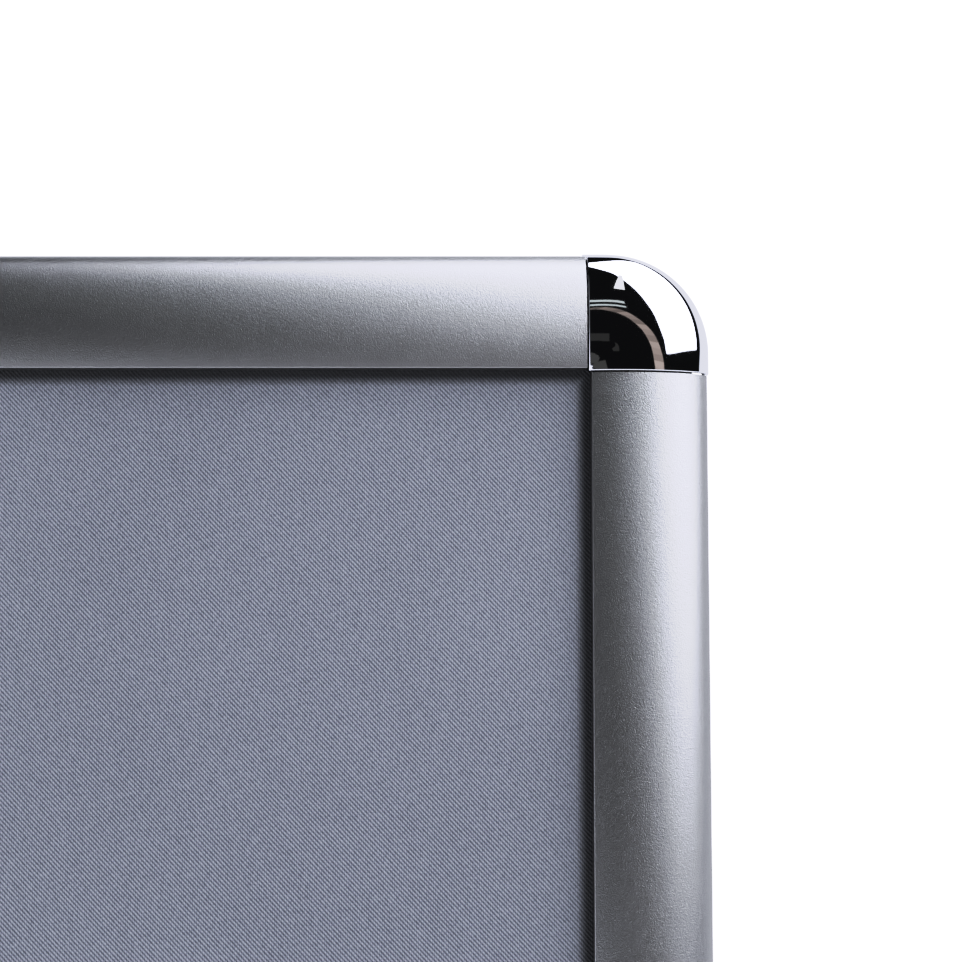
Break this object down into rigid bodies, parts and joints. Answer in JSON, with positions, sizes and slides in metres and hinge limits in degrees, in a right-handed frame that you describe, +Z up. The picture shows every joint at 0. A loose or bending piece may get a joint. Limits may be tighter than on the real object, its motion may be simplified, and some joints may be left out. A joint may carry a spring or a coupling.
{
  "type": "sandwich board",
  "caption": "Double-sided folding pavement A-board: two silver snap frames with round chromed corners, hinged at the top, held open by folding side stays.",
  "frame": {"origin": "the centre of the board's footprint, on the ground", "axes": "+Z up; -Y is the way the front panel faces; +X is to the right seen from the front"},
  "size_m": [0.638, 0.5156, 1.0527],
  "materials": {
    "anodised_aluminium": "fine bead-blasted silver anodising",
    "chrome": "mirror-bright chrome plating on moulded plastic",
    "cover_sheet": "grey sheet with a fine diagonal twill emboss",
    "galvanised_steel": "galvanised, with a faint spangle",
    "zinc_plated_steel": "bright zinc plating",
    "spring_steel": "plain rolled spring steel",
    "foot_rubber": "matt black"
  },
  "bodies": {
    "front_frame": {"front_back_panel": "galvanised_steel", "front_corner_bottom_left": "chrome", "front_corner_bottom_right": "chrome", "front_corner_key_left": "zinc_plated_steel", "front_corner_key_right": "zinc_plated_steel", "front_corner_top_left": "chrome", "front_corner_top_right": "chrome", "front_cover_sheet": "cover_sheet", "front_foot_left": "foot_rubber", "front_foot_right": "foot_rubber", "front_rail_bottom": "anodised_aluminium", "front_rail_left": "anodised_aluminium", "front_rail_right": "anodised_aluminium", "front_rail_top": "anodised_aluminium", "front_spring_bottom": "spring_steel", "front_spring_left": "spring_steel", "front_spring_right": "spring_steel", "front_spring_top": "spring_steel", "hinge_left_front_leaf": "zinc_plated_steel", "hinge_left_pin": "zinc_plated_steel", "hinge_right_front_leaf": "zinc_plated_steel", "hinge_right_pin": "zinc_plated_steel", "stay_left_front_pivot": "zinc_plated_steel", "stay_right_front_pivot": "zinc_plated_steel"},
    "rear_frame": {"hinge_left_rear_leaf": "zinc_plated_steel", "hinge_right_rear_leaf": "zinc_plated_steel", "rear_back_panel": "galvanised_steel", "rear_corner_bottom_left": "chrome", "rear_corner_bottom_right": "chrome", "rear_corner_key_left": "zinc_plated_steel", "rear_corner_key_right": "zinc_plated_steel", "rear_corner_top_left": "chrome", "rear_corner_top_right": "chrome", "rear_cover_sheet": "cover_sheet", "rear_foot_left": "foot_rubber", "rear_foot_right": "foot_rubber", "rear_rail_bottom": "anodised_aluminium", "rear_rail_left": "anodised_aluminium", "rear_rail_right": "anodised_aluminium", "rear_rail_top": "anodised_aluminium", "rear_spring_bottom": "spring_steel", "rear_spring_left": "spring_steel", "rear_spring_right": "spring_steel", "rear_spring_top": "spring_steel", "stay_left_rear_pivot": "zinc_plated_steel", "stay_right_rear_pivot": "zinc_plated_steel"},
    "front_snap_cover_bottom": {"front_snap_cover_bottom": "anodised_aluminium"},
    "front_snap_cover_left": {"front_snap_cover_left": "anodised_aluminium"},
    "front_snap_cover_right": {"front_snap_cover_right": "anodised_aluminium"},
    "front_snap_cover_top": {"front_snap_cover_top": "anodised_aluminium"},
    "rear_snap_cover_bottom": {"rear_snap_cover_bottom": "anodised_aluminium"},
    "rear_snap_cover_left": {"rear_snap_cover_left": "anodised_aluminium"},
    "rear_snap_cover_right": {"rear_snap_cover_right": "anodised_aluminium"},
    "rear_snap_cover_top": {"rear_snap_cover_top": "anodised_aluminium"},
    "stay_left_front_link": {"stay_left_front_link": "zinc_plated_steel", "stay_left_knee_rivet": "zinc_plated_steel"},
    "stay_left_rear_link": {"stay_left_rear_link": "zinc_plated_steel"},
    "stay_right_front_link": {"stay_right_front_link": "zinc_plated_steel", "stay_right_knee_rivet": "zinc_plated_steel"},
    "stay_right_rear_link": {"stay_right_rear_link": "zinc_plated_steel"}
  },
  "joints": [
    {"name": "fold", "type": "hinge", "parent": "front_frame", "child": "rear_frame", "pos_m": [0, 0, 1.04464], "axis": [-1, 0, 0], "range_deg": [0, 26]},
    {"name": "front_snap_cover_bottom_hinge", "type": "hinge", "parent": "front_frame", "child": "front_snap_cover_bottom", "pos_m": [0, -0.20664, 0.19315], "axis": [1, 0, 0], "range_deg": [0, 95]},
    {"name": "front_snap_cover_left_hinge", "type": "hinge", "parent": "front_frame", "child": "front_snap_cover_left", "pos_m": [-0.31615, -0.10774, 0.62154], "axis": [0, -0.225, -0.9744], "range_deg": [0, 95]},
    {"name": "front_snap_cover_right_hinge", "type": "hinge", "parent": "front_frame", "child": "front_snap_cover_right", "pos_m": [0.31615, -0.10774, 0.62154], "axis": [0, 0.225, 0.9744], "range_deg": [0, 95]},
    {"name": "front_snap_cover_top_hinge", "type": "hinge", "parent": "front_frame", "child": "front_snap_cover_top", "pos_m": [0, -0.00884, 1.04992], "axis": [-1, 0, 0], "range_deg": [0, 95]},
    {"name": "rear_snap_cover_bottom_hinge", "type": "hinge", "parent": "rear_frame", "child": "rear_snap_cover_bottom", "pos_m": [0, 0.20664, 0.19315], "axis": [-1, 0, 0], "range_deg": [0, 95]},
    {"name": "rear_snap_cover_left_hinge", "type": "hinge", "parent": "rear_frame", "child": "rear_snap_cover_left", "pos_m": [-0.31615, 0.10774, 0.62154], "axis": [0, -0.225, 0.9744], "range_deg": [0, 95]},
    {"name": "rear_snap_cover_right_hinge", "type": "hinge", "parent": "rear_frame", "child": "rear_snap_cover_right", "pos_m": [0.31615, 0.10774, 0.62154], "axis": [0, 0.225, -0.9744], "range_deg": [0, 95]},
    {"name": "rear_snap_cover_top_hinge", "type": "hinge", "parent": "rear_frame", "child": "rear_snap_cover_top", "pos_m": [0, 0.00884, 1.04992], "axis": [1, 0, 0], "range_deg": [0, 95]},
    {"name": "stay_left_front_pivot_joint", "type": "hinge", "parent": "front_frame", "child": "stay_left_front_link", "pos_m": [-0.2864, -0.14179, 0.4616], "axis": [1, 0, 0], "range_deg": [0, 74.18]},
    {"name": "stay_left_rear_pivot_joint", "type": "hinge", "parent": "rear_frame", "child": "stay_left_rear_link", "pos_m": [-0.284, 0.14179, 0.4616], "axis": [-1, 0, 0], "range_deg": [0, 74.18]},
    {"name": "stay_right_front_pivot_joint", "type": "hinge", "parent": "front_frame", "child": "stay_right_front_link", "pos_m": [0.2864, -0.14179, 0.4616], "axis": [1, 0, 0], "range_deg": [0, 74.18]},
    {"name": "stay_right_rear_pivot_joint", "type": "hinge", "parent": "rear_frame", "child": "stay_right_rear_link", "pos_m": [0.284, 0.14179, 0.4616], "axis": [-1, 0, 0], "range_deg": [0, 74.18]}
  ],
  "couplings": [
    {"joint": "stay_left_front_pivot_joint", "follows": "fold", "ratio": 2.8527},
    {"joint": "stay_left_rear_pivot_joint", "follows": "fold", "ratio": 2.8527},
    {"joint": "stay_right_front_pivot_joint", "follows": "fold", "ratio": 2.8527},
    {"joint": "stay_right_rear_pivot_joint", "follows": "fold", "ratio": 2.8527}
  ]
}
